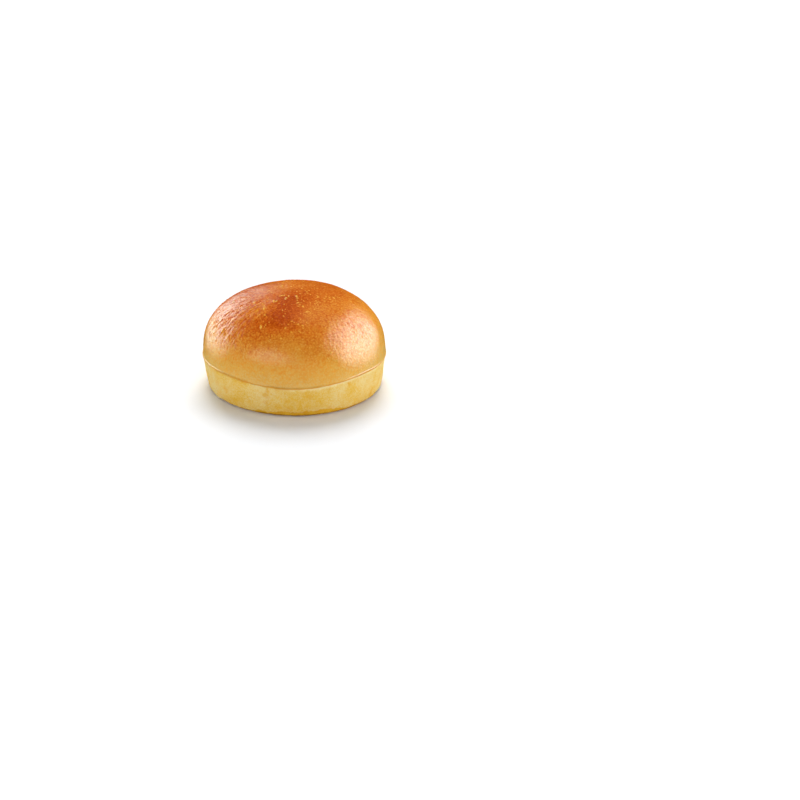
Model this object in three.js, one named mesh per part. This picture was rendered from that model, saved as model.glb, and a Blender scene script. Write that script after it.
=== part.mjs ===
// A brioche burger bun, sliced through and standing closed: a domed crown on a flat-based heel.
// Millimetres, +Z up, the origin at the middle of the base. Azimuth 0 is -Y, the front, and grows towards +X.
import * as THREE from "three";

// Driving dimensions
const RADIUS = 54.7; // at the shoulder, the widest level
const SHOULDER_HEIGHT = 19.2;
const HEIGHT = 58;
const CUT_HEIGHT = 20; // mean level of the slice
const KERF = 0.4; // between the two cut faces
const CROWN_OVERHANG = 0.5; // the crown's rim stands this far proud of the heel's
const BASE_RADIUS = 52; // the wall's foot, before its corner is rounded
const BASE_CORNER = 4; // radius of the rounded corner round the base
const RIM_CORNER = 0.8; // radius of the soft edge at both cut rims

// A superellipse dome: (r / RADIUS)^DOME_WIDTH_POWER + (rise / dome height)^DOME_RISE_POWER = 1
const DOME_WIDTH_POWER = 2.24;
const DOME_RISE_POWER = 2.59;
const WALL_POWER = 0.84; // how quickly the heel's wall swells from foot to shoulder

// Irregularity of a bun shaped by hand: shares of the radius, by the number of lobes round the outline
const OUTLINE_WAVES = [
  { lobes: 2, cosine: -0.002, sine: 0.013 },
  { lobes: 3, cosine: -0.002, sine: 0.004 },
];
const CUT_TILT = { x: 0.2, y: 0.5 }; // the slice's rise at RADIUS along +X and +Y
const CUT_WAVE = 0.9; // the knife's wander at the rim
const CUT_FADE = 12; // the crown's wall follows the slice up to this height above it

// Mesh density
const SEGMENTS = 80;
const DOME_ROWS = 20;
const WALL_ROWS = 8;
const CORNER_ROWS = 4;
const FACE_RINGS = 4;

const crustMaterial = new THREE.MeshStandardMaterial({
  color: new THREE.Color().setRGB(0.84, 0.5, 0.18, THREE.SRGBColorSpace),
  roughness: 0.45,
  metalness: 0,
});
const paleCrustMaterial = new THREE.MeshStandardMaterial({
  color: new THREE.Color().setRGB(0.85, 0.7, 0.4, THREE.SRGBColorSpace),
  roughness: 0.75,
  metalness: 0,
});

// Evenly spaced numbers from 0 to 1, both ends included.
const steps = (count) => Array.from({ length: count + 1 }, (_, i) => i / count);

// The heel's wall radius at a height, from its foot to the shoulder.
const wallRadius = (z) =>
  BASE_RADIUS + (RADIUS - BASE_RADIUS) * Math.min(1, z / SHOULDER_HEIGHT) ** WALL_POWER;

// A quarter circle about (r, z), from one angle to another, in radians from the outward direction.
function corner(r, z, radius, from, to) {
  return steps(CORNER_ROWS).map((t) => {
    const angle = from + (to - from) * t;
    return new THREE.Vector2(r + radius * Math.cos(angle), z + radius * Math.sin(angle));
  });
}

// A flat face's rings, from the axis out to just short of the radius where its corner starts.
function face(radius, z) {
  return steps(FACE_RINGS)
    .slice(0, -1)
    .map((t) => new THREE.Vector2(radius * t, z));
}

// The crown's half section, from the middle of its cut face, round the rim and over the dome.
function crownProfile() {
  const bottom = CUT_HEIGHT + KERF / 2;
  const rimRadius = RADIUS - RIM_CORNER;
  const domeRise = HEIGHT - SHOULDER_HEIGHT;
  const firstRise = (bottom + RIM_CORNER - SHOULDER_HEIGHT) / domeRise;
  const firstAngle = Math.asin(firstRise ** (DOME_RISE_POWER / 2));
  const dome = steps(DOME_ROWS).map((t) => {
    const angle = firstAngle + (Math.PI / 2 - firstAngle) * t;
    const r = t < 1 ? RADIUS * Math.cos(angle) ** (2 / DOME_WIDTH_POWER) : 0;
    return new THREE.Vector2(r, SHOULDER_HEIGHT + domeRise * Math.sin(angle) ** (2 / DOME_RISE_POWER));
  });
  return [
    ...face(rimRadius, bottom),
    ...corner(rimRadius, bottom + RIM_CORNER, RIM_CORNER, -Math.PI / 2, 0).slice(0, -1),
    ...dome,
  ];
}

// The heel's half section, from the middle of the base, up the wall and back in over its cut face.
function heelProfile() {
  const top = CUT_HEIGHT - KERF / 2;
  const wallFoot = BASE_CORNER;
  const wallTop = top - RIM_CORNER;
  const wall = steps(WALL_ROWS).map((t) => {
    const z = wallFoot + (wallTop - wallFoot) * t;
    return new THREE.Vector2(wallRadius(z) - CROWN_OVERHANG, z);
  });
  const baseRadius = wall[0].x - BASE_CORNER;
  const rimRadius = wall[WALL_ROWS].x - RIM_CORNER;
  return [
    ...face(baseRadius, 0),
    ...corner(baseRadius, BASE_CORNER, BASE_CORNER, -Math.PI / 2, 0).slice(0, -1),
    ...wall,
    ...corner(rimRadius, wallTop, RIM_CORNER, 0, Math.PI / 2).slice(1),
    ...face(rimRadius, top).reverse(),
  ];
}

// The outline's radius at an azimuth, as a share of the round bun's.
function outline(azimuth) {
  return OUTLINE_WAVES.reduce(
    (share, { lobes, cosine, sine }) =>
      share + cosine * Math.cos(lobes * azimuth) + sine * Math.sin(lobes * azimuth),
    1,
  );
}

// How far the slice stands above its mean level at (x, y).
function cutRise(x, y) {
  const u = x / RADIUS;
  const v = y / RADIUS;
  const fourLobes = u ** 4 - 6 * u * u * v * v + v ** 4;
  return CUT_TILT.x * u + CUT_TILT.y * v - CUT_WAVE * fourLobes;
}

// Turns a half section into a closed solid about +Z, then gives it the bun's outline and slice.
// followsCut says what share of the slice's rise a point at height z takes.
function bakedSolid(profile, followsCut) {
  const geometry = new THREE.LatheGeometry(profile, SEGMENTS).rotateX(Math.PI / 2);
  const position = geometry.getAttribute("position");
  for (let i = 0; i < position.count; i++) {
    const share = outline(Math.atan2(position.getX(i), -position.getY(i)));
    const x = position.getX(i) * share;
    const y = position.getY(i) * share;
    const z = position.getZ(i);
    position.setXYZ(i, x, y, z + cutRise(x, y) * followsCut(z));
  }
  geometry.computeVertexNormals();
  return geometry;
}

function crown() {
  const fade = (z) => THREE.MathUtils.smoothstep(z, CUT_HEIGHT, CUT_HEIGHT + CUT_FADE);
  const mesh = new THREE.Mesh(bakedSolid(crownProfile(), (z) => 1 - fade(z)), crustMaterial);
  mesh.name = "crown";
  return mesh;
}

function heel() {
  const mesh = new THREE.Mesh(bakedSolid(heelProfile(), (z) => z / CUT_HEIGHT), paleCrustMaterial);
  mesh.name = "heel";
  return mesh;
}

// Sets the two halves together, with the middle of the whole bun's outline over the origin.
function bun() {
  const halves = [crown(), heel()];
  const group = new THREE.Group().add(...halves);
  const middle = new THREE.Box3().setFromObject(group, true).getCenter(new THREE.Vector3());
  halves.forEach((half) => half.position.set(-middle.x, -middle.y, 0));
  return group;
}

export default bun();
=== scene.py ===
"""A brioche burger bun, sliced through and standing closed: the crusts, the crumb and the studio round them.

Metres, +Z up, the origin at the middle of the base. Azimuth 0 is -Y, the front, and grows towards +X.
Each half is one closed surface: patches of a regular grid that share their border points, pushed along
their outward direction by the bread's hills, wrinkles, blisters and open cells.
"""

import itertools
import logging
import math
from dataclasses import dataclass
from enum import Enum

import bpy
import numpy as np
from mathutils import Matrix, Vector


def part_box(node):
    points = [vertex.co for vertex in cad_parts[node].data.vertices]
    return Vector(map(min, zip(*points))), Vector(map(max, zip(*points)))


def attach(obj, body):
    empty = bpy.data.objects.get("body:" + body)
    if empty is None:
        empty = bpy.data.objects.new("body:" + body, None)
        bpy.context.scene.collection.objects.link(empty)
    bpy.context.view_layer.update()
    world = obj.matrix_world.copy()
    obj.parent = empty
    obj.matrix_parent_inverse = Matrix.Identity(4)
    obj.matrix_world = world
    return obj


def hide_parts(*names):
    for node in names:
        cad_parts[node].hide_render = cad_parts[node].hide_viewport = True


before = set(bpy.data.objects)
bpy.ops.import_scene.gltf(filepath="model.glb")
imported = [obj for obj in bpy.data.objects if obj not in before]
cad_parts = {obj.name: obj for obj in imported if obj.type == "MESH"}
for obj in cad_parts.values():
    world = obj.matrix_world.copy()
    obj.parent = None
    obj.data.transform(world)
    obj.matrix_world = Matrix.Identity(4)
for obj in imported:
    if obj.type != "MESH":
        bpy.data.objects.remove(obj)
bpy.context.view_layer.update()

MM = 0.001
BODY = "root"
LATTICE_CORNERS = 256
HILL_GAIN = 1.7
log = logging.getLogger("brioche_bun")

Colour = tuple[float, float, float]


class Half(Enum):
    """The halves that the slice leaves: the frame's node, and a name for a finish slot, which nothing uses.
    """

    CROWN = ("crown", "glazed_crust")
    HEEL = ("heel", "pale_crust")


def ease(values: np.ndarray, start: float, end: float) -> np.ndarray:
    """A smooth step: 3t^2 - 2t^3, where t is how far the values have come from start to end.

    Args:
        values: any numbers.
        start: where the result leaves 0.
        end: where the result reaches 1.

    Returns:
        Numbers from 0 to 1, in the shape of values.
    """
    share = np.clip((values - start) / (end - start), 0, 1)
    return share * share * (3 - 2 * share)


@dataclass(frozen=True)
class Hills:
    """Smooth random hills and hollows through space, the same on every run.

    Each corner of a unit lattice has a random slope. A point's height is the sum, over the eight corners
    of its cell, of that slope times its distance from the corner, weighted by 6t^5 - 15t^4 + 10t^3
    along each axis. The lattice repeats after LATTICE_CORNERS, and HILL_GAIN brings the sum to about
    -1 to 1.
    """

    seed: int
    height: float
    size: float

    def at(self, points: np.ndarray) -> np.ndarray:
        """Heights of the hills.

        Args:
            points: places, with x, y and z along the last axis.

        Returns:
            Heights from about -height to height, with hills about as far apart as size.
        """
        draws = np.random.default_rng(self.seed)
        order = draws.permutation(LATTICE_CORNERS)
        slopes = draws.normal(size=(LATTICE_CORNERS, 3))
        slopes /= np.linalg.norm(slopes, axis=1, keepdims=True)
        scaled = points / self.size
        cell = np.floor(scaled).astype(int)
        offset = scaled - cell
        fade = offset**3 * (offset * (offset * 6 - 15) + 10)
        total = np.zeros(points.shape[:-1])
        for corner in itertools.product((0, 1), repeat=3):
            x, y, z = np.moveaxis((cell + corner) % LATTICE_CORNERS, -1, 0)
            column = order[(order[x] + y) % LATTICE_CORNERS]
            chosen = order[(column + z) % LATTICE_CORNERS]
            rise = np.sum(slopes[chosen] * (offset - corner), axis=-1)
            total += rise * np.prod(np.where(corner, fade, 1 - fade), axis=-1)
        return self.height * (total * HILL_GAIN)


@dataclass(frozen=True)
class BunForm:
    """The form that both halves share: a superellipse dome on a wall that tapers to the base."""

    height: float
    radius: float = 54.7 * MM
    shoulder_height: float = 19.2 * MM
    cut_height: float = 20 * MM
    kerf: float = 0.4 * MM
    overhang: float = 0.5 * MM
    base_radius: float = 52 * MM
    base_corner: float = 2.5 * MM
    rim_corner: float = 0.45 * MM
    width_power: float = 2.24
    rise_power: float = 2.59
    wall_power: float = 0.84
    outline_waves: tuple[tuple[int, float, float], ...] = ((2, -0.002, 0.013), (3, -0.002, 0.004))
    cut_tilt: tuple[float, float] = (0.2 * MM, 0.5 * MM)
    cut_wave: float = 0.9 * MM
    cut_fade: float = 12 * MM
    tear: float = 0.16 * MM
    tear_hills: Hills = Hills(51, 1.0, 7 * MM)
    tear_grain: Hills = Hills(52, 0.6, 2.2 * MM)
    outline_steps: int = 720

    def outline(self, azimuth: np.ndarray) -> np.ndarray:
        """The radius at an azimuth as a share of the round bun's: 1 plus a few waves round the circle."""
        return 1 + sum(
            cosine * np.cos(lobes * azimuth) + sine * np.sin(lobes * azimuth)
            for lobes, cosine, sine in self.outline_waves
        )

    def cut_rise(self, x: np.ndarray, y: np.ndarray) -> np.ndarray:
        """How far the slice stands above its mean level.

        It is a tilt, less a four-lobed wave u^4 - 6u^2v^2 + v^4, plus the small hills of a torn edge.

        Args:
            x: places across the bun.
            y: places along it.

        Returns:
            Heights in metres.
        """
        u, v = x / self.radius, y / self.radius
        flat = np.stack([x, y, 0 * x], axis=-1)
        torn = self.tear * (self.tear_hills.at(flat) + self.tear_grain.at(flat))
        wave = u**4 - 6 * u * u * v * v + v**4
        return self.cut_tilt[0] * u + self.cut_tilt[1] * v - self.cut_wave * wave + torn

    def wall_radius(self, height: np.ndarray) -> np.ndarray:
        """The heel's wall radius, which swells from foot to shoulder by a power of the height."""
        share = np.clip(height / self.shoulder_height, 0, 1)
        return self.base_radius + (self.radius - self.base_radius) * share**self.wall_power - self.overhang

    def dome_height(self, radius: np.ndarray) -> np.ndarray:
        """The dome's height over a radius, from (r / R)^width_power + (rise / dome rise)^rise_power = 1."""
        share = np.clip(1 - (radius / self.radius) ** self.width_power, 0, 1)
        return self.shoulder_height + (self.height - self.shoulder_height) * share ** (1 / self.rise_power)

    def middle(self) -> tuple[float, float]:
        """The middle of the outline's box, which stands over the origin.

        Returns:
            Its x and y, measured from the middle of the outline's circles.
        """
        azimuth = np.linspace(0, 2 * math.pi, self.outline_steps + 1)
        reach = self.radius * self.outline(azimuth)
        x, y = reach * np.sin(azimuth), -reach * np.cos(azimuth)
        return (x.max() + x.min()) / 2, (y.max() + y.min()) / 2

    def place(
        self, radius: np.ndarray, height: np.ndarray, azimuth: np.ndarray, cut_share: np.ndarray
    ) -> np.ndarray:
        """Points on circles of the bun, given the outline and a share of the slice's rise.

        Args:
            radius: the round bun's radius at each point.
            height: the height before the slice's rise.
            azimuth: the direction, in radians from the front.
            cut_share: how much of the slice's rise the point takes.

        Returns:
            x, y and z along a new last axis.
        """
        reach = radius * self.outline(azimuth)
        x, y = reach * np.sin(azimuth), -reach * np.cos(azimuth)
        z = height + self.cut_rise(x, y) * cut_share
        middle = self.middle()
        return np.stack([x - middle[0], y - middle[1], z], axis=-1)


@dataclass(frozen=True)
class Spots:
    """Points of a surface with their outward directions and their share of crumb, all of one shape."""

    points: np.ndarray
    outward: np.ndarray
    crumb: np.ndarray

    def pick(self, chosen: np.ndarray) -> "Spots":
        """The spots at these flat indices."""
        return Spots(
            self.points.reshape(-1, 3)[chosen],
            self.outward.reshape(-1, 3)[chosen],
            self.crumb.ravel()[chosen],
        )


def leaning(radial: np.ndarray, upward: np.ndarray, azimuth: np.ndarray) -> np.ndarray:
    """Directions in three axes from their radial and upward parts at an azimuth."""
    return np.stack(np.broadcast_arrays(radial * np.sin(azimuth), -radial * np.cos(azimuth), upward), axis=-1)


def round_grid(cells: int) -> tuple[np.ndarray, np.ndarray]:
    """A square grid wrapped on a disc, so that each square ring becomes a circle of evenly spaced points.

    A point's share of the radius is the larger of its two grid distances from the middle, and its angle
    runs evenly along its side of the square, an eighth of a turn to each corner.

    Args:
        cells: how many cells the grid has each way, an even number.

    Returns:
        Each point's share of the radius and its azimuth, two square arrays.
    """
    line = np.linspace(-1, 1, cells + 1)
    u, v = np.meshgrid(line, line, indexing="ij")
    share = np.maximum(abs(u), abs(v))
    beside = abs(u) >= abs(v)
    run = np.where(beside, v, -u) / np.where(share == 0, 1, np.where(beside, u, v))
    start = np.where(beside, np.where(u < 0, math.pi, 0), np.where(v < 0, 1.5 * math.pi, 0.5 * math.pi))
    return share, start + run * math.pi / 4


def border_of(azimuth: np.ndarray) -> np.ndarray:
    """Finds a round grid's border points.

    Args:
        azimuth: the grid's azimuths.

    Returns:
        Their flat indices, by growing azimuth from the front.
    """
    edge = np.ones(azimuth.shape, bool)
    edge[1:-1, 1:-1] = False
    numbers = np.flatnonzero(edge)
    # Rounded, so that a whole turn counts as none.
    turn = np.round(azimuth.ravel()[numbers] / (2 * math.pi), 9) % 1
    return numbers[np.argsort(turn)]


class Skin:
    """One closed surface gathered patch by patch. Neighbouring patches share the points of their border."""

    def __init__(self) -> None:
        """Starts with no points and no faces."""
        self.parts: list[Spots] = []
        self.faces: list[list[int]] = []
        self.size = 0

    def add(self, spots: Spots) -> np.ndarray:
        """Adds spots.

        Args:
            spots: the new points.

        Returns:
            Their numbers, in the shape they came in.
        """
        shape = spots.crumb.shape
        self.parts.append(spots.pick(np.arange(spots.crumb.size)))
        numbers = np.arange(self.size, self.size + spots.crumb.size).reshape(shape)
        self.size += spots.crumb.size
        return numbers

    def add_faces(self, *corners: np.ndarray, outward: bool = True) -> None:
        """Adds one face for each set of corners.

        Args:
            corners: point numbers, one array for each corner and all of one shape.
            outward: whether the corners run anticlockwise from outside. If not, the faces are turned over.
        """
        loops = np.stack([corner.ravel() for corner in corners], axis=-1)
        self.faces += (loops if outward else loops[:, ::-1]).tolist()

    def disc(self, spots: Spots, border: np.ndarray, edge: np.ndarray, faces_up: bool) -> None:
        """Fills a ring of points with a round grid.

        Args:
            spots: the round grid's points, of which the border ones are left out.
            border: where the border is in the grid, as flat indices by azimuth.
            edge: the numbers of the ring's points, by azimuth.
            faces_up: whether the outside is above.
        """
        numbers = np.empty(spots.crumb.size, int)
        inside = np.setdiff1d(np.arange(numbers.size), border)
        numbers[inside] = self.add(spots.pick(inside))
        numbers[border] = edge
        grid = numbers.reshape(spots.crumb.shape)
        self.add_faces(grid[:-1, :-1], grid[1:, :-1], grid[1:, 1:], grid[:-1, 1:], outward=faces_up)

    def band(self, rows: np.ndarray) -> None:
        """Joins rings of as many points, given from the lowest to the highest."""
        onward = np.roll(rows, -1, axis=1)
        self.add_faces(rows[:-1], onward[:-1], onward[1:], rows[1:])

    def halve(self, outer: np.ndarray, inner: np.ndarray, faces_up: bool) -> None:
        """Joins a ring to one inside it that has half as many points, by three triangles a step.

        Args:
            outer: the numbers of the outer ring's points.
            inner: the numbers of the inner ring's points.
            faces_up: whether the outside is above.
        """
        near, between, far = outer[0::2], outer[1::2], np.roll(outer[0::2], -1)
        here, there = inner, np.roll(inner, -1)
        self.add_faces(here, near, between, outward=faces_up)
        self.add_faces(here, between, there, outward=faces_up)
        self.add_faces(there, between, far, outward=faces_up)

    def spots(self) -> Spots:
        """All the points so far, in the order of their numbers."""
        return Spots(
            np.concatenate([part.points for part in self.parts]),
            np.concatenate([part.outward for part in self.parts]),
            np.concatenate([part.crumb for part in self.parts]),
        )


def smooth_object(
    name: str, points: np.ndarray, faces: list[list[int]], values: dict[str, np.ndarray]
) -> bpy.types.Object:
    """A smooth-shaded object in the scene.

    Args:
        name: the piece's name.
        points: where its points are.
        faces: the point numbers round each face.
        values: what the finishes read at each point, by name: one number or three.

    Returns:
        The object, at the origin.
    """
    mesh = bpy.data.meshes.new(name)
    mesh.from_pydata(points.tolist(), [], faces)
    mesh.polygons.foreach_set("use_smooth", np.ones(len(mesh.polygons), bool))
    for key, numbers in values.items():
        kind, field = ("FLOAT", "value") if numbers.ndim == 1 else ("FLOAT_VECTOR", "vector")
        mesh.attributes.new(key, kind, "POINT").data.foreach_set(field, numbers.astype(np.float32).ravel())
    mesh.validate()
    piece = bpy.data.objects.new(name, mesh)
    bpy.context.scene.collection.objects.link(piece)
    return piece


def hand_over(piece: bpy.types.Object, half: Half, finish: bpy.types.Material) -> bpy.types.Object:
    """Gives a piece its finish and lets it stand for its half of the frame.

    Args:
        piece: the object.
        half: which half it is.
        finish: its material.

    Returns:
        The same object.
    """
    node, slot = half.value
    piece.data.materials.append(finish)
    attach(piece, BODY)
    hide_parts(node)
    return piece


@dataclass(frozen=True)
class CrumbCells:
    """The bubbles that the knife opened: both faces of the slice show the same ones."""

    seed: int = 23
    count: int = 1100
    smallest: float = 0.55 * MM
    largest: float = 2.9 * MM
    deepest: float = 0.75
    rarity: float = 3.2
    longest: float = 1.9

    def depth(self, points: np.ndarray, reach: float) -> np.ndarray:
        """How deep the cells go: each oval one is a bowl, r sqrt(1 - d^2), and the deepest bowl counts.

        Args:
            points: places on the slice.
            reach: how far from the middle the cells are strewn.

        Returns:
            Depths in metres, 0 between the cells.
        """
        draws = np.random.default_rng(self.seed)
        turn = draws.uniform(0, 2 * math.pi, self.count)
        away = reach * np.sqrt(draws.uniform(0, 1, self.count))
        lean = draws.uniform(0, math.pi, self.count)
        stretch = draws.uniform(1, self.longest, self.count)
        size = draws.uniform(0, 1, self.count) ** self.rarity
        radius = self.smallest + (self.largest - self.smallest) * size
        across = points[:, None, 0] - away * np.cos(turn)
        along = points[:, None, 1] - away * np.sin(turn)
        ahead = (across * np.cos(lean) + along * np.sin(lean)) / (radius * stretch)
        aside = (along * np.cos(lean) - across * np.sin(lean)) / radius
        bowls = np.sqrt(np.clip(1 - ahead**2 - aside**2, 0, None)) * radius
        return self.deepest * bowls.max(axis=1)


@dataclass(frozen=True)
class SliceFace:
    """The cut face of a half: a coarser round grid, joined to the rim by one ring of triangles."""

    form: BunForm
    cells: CrumbCells = CrumbCells()
    grid_cells: int = 128
    join: float = 0.9 * MM
    crust_width: float = 0.0
    crust_blur: float = 0.4
    calm_edge: tuple[float, float] = (0.93, 0.985)
    roughness: float = 0.1 * MM
    grain: Hills = Hills(31, 1.0, 1.3 * MM)

    def close(self, skin: Skin, edge: np.ndarray, radius: float, height: float, faces_up: bool) -> None:
        """Closes a half over its slice.

        Args:
            skin: the half so far.
            edge: the numbers of the rim's points.
            radius: the rim's radius.
            height: the face's mean level.
            faces_up: whether this is the heel's face.
        """
        share, azimuth = round_grid(self.grid_cells)
        points = self.form.place(share * (radius - self.join), np.full_like(share, height), azimuth, 1.0)
        outward = np.broadcast_to([0.0, 0.0, 1.0 if faces_up else -1.0], points.shape)
        inset = radius - share * (radius - self.join)
        crumb = np.ones_like(share)
        if self.crust_width:
            inner_edge, outer_edge = 1 - self.crust_blur, 1 + self.crust_blur
            crumb = ease(inset, inner_edge * self.crust_width, outer_edge * self.crust_width)
        spots = Spots(points, outward, crumb)
        border = border_of(azimuth)
        inner = skin.add(spots.pick(border))
        skin.halve(edge, inner, faces_up)
        skin.disc(spots, border, inner, faces_up)

    def lift(self, spots: Spots) -> np.ndarray:
        """How the crumb lifts off the even face: by its torn grain and, into the bread, by its open cells.

        Args:
            spots: the half's points, of which those with crumb are on the face.

        Returns:
            Heights in metres along the outward direction, 0 away from the face.
        """
        lift = np.zeros(len(spots.points))
        open_bread = np.flatnonzero(spots.crumb > 0)
        points = spots.points[open_bread]
        reach = np.hypot(points[:, 0], points[:, 1]) / self.form.radius
        open_part = 1 - ease(reach, *self.calm_edge)
        grain = self.roughness * (self.grain.at(points) - 1)
        depth = self.cells.depth(points, self.form.radius * self.calm_edge[0])
        lift[open_bread] = spots.crumb[open_bread] * open_part * (grain - depth)
        return lift


@dataclass(frozen=True)
class BlisterCluster:
    """A patch of small bubbles under the glaze: its place over the dome, its spread and what it holds."""

    x: float
    y: float
    spread: float
    count: int
    largest: float


@dataclass(frozen=True)
class BrownPatch:
    """A patch of the crust made darker, or paler where depth is below 0, and its place and spread."""

    x: float
    y: float
    spread: float
    depth: float


@dataclass(frozen=True)
class Zone:
    """A stretch of the bun's side: its direction in degrees, how far round it goes and its strength."""

    azimuth: float
    reach: float
    strength: float


def zone_share(zones: tuple[Zone, ...], azimuth: np.ndarray) -> np.ndarray:
    """How strong the zones are together at an azimuth: the sum of strength * exp(-(turn / reach)^2).

    Args:
        zones: the stretches.
        azimuth: degrees.

    Returns:
        The strengths.
    """
    turns = [(azimuth - zone.azimuth + 180) % 360 - 180 for zone in zones]
    return sum(zone.strength * np.exp(-((turn / zone.reach) ** 2)) for zone, turn in zip(zones, turns))


def sideways(slicewards: np.ndarray) -> np.ndarray:
    """Where a surface faces sideways, from 0 to 1, by how far its outward direction points at the slice."""
    return 1 - ease(slicewards, 0.2, 0.95)


@dataclass(frozen=True)
class Crown:
    """The upper half: a glazed dome with wrinkled shoulders and small blisters over the top."""

    form: BunForm
    grid_cells: int = 264
    apex_spacing: float = 0.65
    rim_rows: int = 5
    crust_width: float = 1.3 * MM
    margin: float = 0.5 * MM
    curve_steps: int = 4000
    swell: Hills = Hills(1, 0.3 * MM, 30 * MM)
    knead: Hills = Hills(2, 0.14 * MM, 11 * MM)
    pore: Hills = Hills(6, 0.05 * MM, 2.2 * MM)
    wrinkle: float = 0.13 * MM
    wrinkles_round: float = 44
    wrinkles_down: float = 15
    wrinkles_anywhere: float = 0.12
    wrinkle_mean: float = 0.75
    wrinkle_patches: Hills = Hills(5, 0.5, 14 * MM)
    shoulder_start: tuple[float, float] = (0.28, 0.52)
    shoulder_end: tuple[float, float] = (0.9, 1.0)
    streak_bend: Hills = Hills(3, 0.05, 26 * MM)
    crease_level: float = 0.4
    crease_lines: Hills = Hills(4, 1.6, 1.45)
    crease_folds: Hills = Hills(8, 0.35, 2.4)
    crease_shade: float = 0.45
    dent: float = 0.3 * MM
    dent_place: tuple[float, float] = (-11 * MM, -36 * MM)
    dent_radius: float = 2.6 * MM
    blister_rise: float = 0.24
    blister_smallest: float = 0.42 * MM
    blister_scatter: float = 0.6
    blister_rarity: float = 2.2
    blister_stretch: tuple[float, float] = (1.3, 2.7)
    blister_sink: float = 0.4
    blister_fall: float = 1.6
    baked_rise: float = 1.1
    baked_levelling: float = 0.45
    browning: Hills = Hills(11, 0.06, 17 * MM)
    mottle: Hills = Hills(12, 0.035, 6 * MM)
    seed: int = 19
    wrinkle_zones: tuple[Zone, ...] = (
        Zone(-72, 42, 1.0),
        Zone(172, 30, 0.7),
        Zone(62, 22, 0.35),
    )
    clusters: tuple[BlisterCluster, ...] = (
        BlisterCluster(0, -7 * MM, 11 * MM, 22, 0.95 * MM),
        BlisterCluster(19 * MM, -8 * MM, 8 * MM, 15, 0.9 * MM),
        BlisterCluster(-3 * MM, -34 * MM, 12 * MM, 12, 0.75 * MM),
        BlisterCluster(9 * MM, -23 * MM, 5 * MM, 3, 1.2 * MM),
        BlisterCluster(-18 * MM, -35 * MM, 4 * MM, 3, 0.95 * MM),
        BlisterCluster(-20 * MM, -14 * MM, 9 * MM, 6, 0.8 * MM),
        BlisterCluster(4 * MM, 22 * MM, 13 * MM, 18, 0.95 * MM),
        BlisterCluster(0, 0, 38 * MM, 22, 0.62 * MM),
    )
    brown_patches: tuple[BrownPatch, ...] = (
        BrownPatch(1 * MM, -9 * MM, 13 * MM, 0.30),
        BrownPatch(-7 * MM, -29 * MM, 12 * MM, 0.36),
        BrownPatch(-27 * MM, -31 * MM, 9 * MM, 0.14),
        BrownPatch(-17 * MM, -19 * MM, 9 * MM, -0.12),
        BrownPatch(-36 * MM, 8 * MM, 22 * MM, 0.18),
        BrownPatch(24 * MM, -42 * MM, 16 * MM, 0.04),
        BrownPatch(46 * MM, -16 * MM, 20 * MM, -0.12),
        BrownPatch(24 * MM, 8 * MM, 18 * MM, 0.05),
        BrownPatch(14 * MM, 24 * MM, 16 * MM, 0.10),
        BrownPatch(-20 * MM, 22 * MM, 14 * MM, 0.08),
    )

    def rim_level(self) -> float:
        """The height of the cut face's rim."""
        return self.form.cut_height + self.form.kerf / 2

    def cut_share(self, height: np.ndarray) -> np.ndarray:
        """The wall follows the slice near it, and no longer a little above it."""
        return 1 - ease(height, self.form.cut_height, self.form.cut_height + self.form.cut_fade)

    def dome(self) -> tuple[Spots, np.ndarray]:
        """The dome as a round grid: its rings stand along the curve from apex to rim, closer near the apex.

        At a share s of the rings, the share of the curve is a s + (1 - a) s^3, where a is apex_spacing.

        Returns:
            The spots and the flat indices of the border, by azimuth.
        """
        form = self.form
        lowest = self.rim_level() + form.rim_corner
        angle = np.linspace(math.pi / 2, 0, self.curve_steps + 1)
        radius = form.radius * np.cos(angle) ** (2 / form.width_power)
        rise = np.sin(angle) ** (2 / form.rise_power)
        height = form.shoulder_height + (form.height - form.shoulder_height) * rise
        radius[0] = 0
        kept = height >= lowest
        radius, height = radius[kept], height[kept]
        run = np.concatenate([[0], np.cumsum(np.hypot(np.diff(radius), np.diff(height)))])
        share, azimuth = round_grid(self.grid_cells)
        along = run[-1] * (self.apex_spacing * share + (1 - self.apex_spacing) * share**3)
        out, up = np.interp(along, run, radius), np.interp(along, run, height)
        tangent_out, tangent_up = np.gradient(radius, run), np.gradient(height, run)
        outward = leaning(-np.interp(along, run, tangent_up), np.interp(along, run, tangent_out), azimuth)
        points = form.place(out, up, azimuth, self.cut_share(up))
        return Spots(points, outward, np.zeros_like(share)), border_of(azimuth)

    def rim(self, around: int) -> Spots:
        """The soft edge of the slice: a quarter circle from the cut face out to the dome.

        Args:
            around: how many points each ring has.

        Returns:
            The rings from the lowest up, without the highest one, which is the dome's own.
        """
        form = self.form
        angle = np.linspace(-math.pi / 2, 0, self.rim_rows + 1)[:-1, None]
        azimuth = np.arange(around) * 2 * math.pi / around
        radius = form.radius - form.rim_corner + form.rim_corner * np.cos(angle) + 0 * azimuth
        height = self.rim_level() + form.rim_corner * (1 + np.sin(angle)) + 0 * azimuth
        points = form.place(radius, height, azimuth, self.cut_share(height))
        return Spots(points, leaning(np.cos(angle), np.sin(angle), azimuth), 0 * radius)

    def streak_space(self, points: np.ndarray) -> np.ndarray:
        """Coordinates that run round and down the dome, stretched so that hills in them are radial wrinkles.

        The azimuth, bent a little by broad hills, goes round a circle of wrinkles_round cells' radius, and
        the angle down from the apex is the third coordinate.

        Args:
            points: places on the crown.

        Returns:
            Three coordinates for each, in cells.
        """
        azimuth = np.arctan2(points[:, 0], -points[:, 1]) + self.streak_bend.at(points)
        down = np.arctan2(np.hypot(points[:, 0], points[:, 1]), points[:, 2] - self.form.cut_height / 2)
        return np.stack(
            [
                self.wrinkles_round * np.sin(azimuth),
                self.wrinkles_round * np.cos(azimuth),
                self.wrinkles_down * down,
            ],
            axis=-1,
        )

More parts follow.
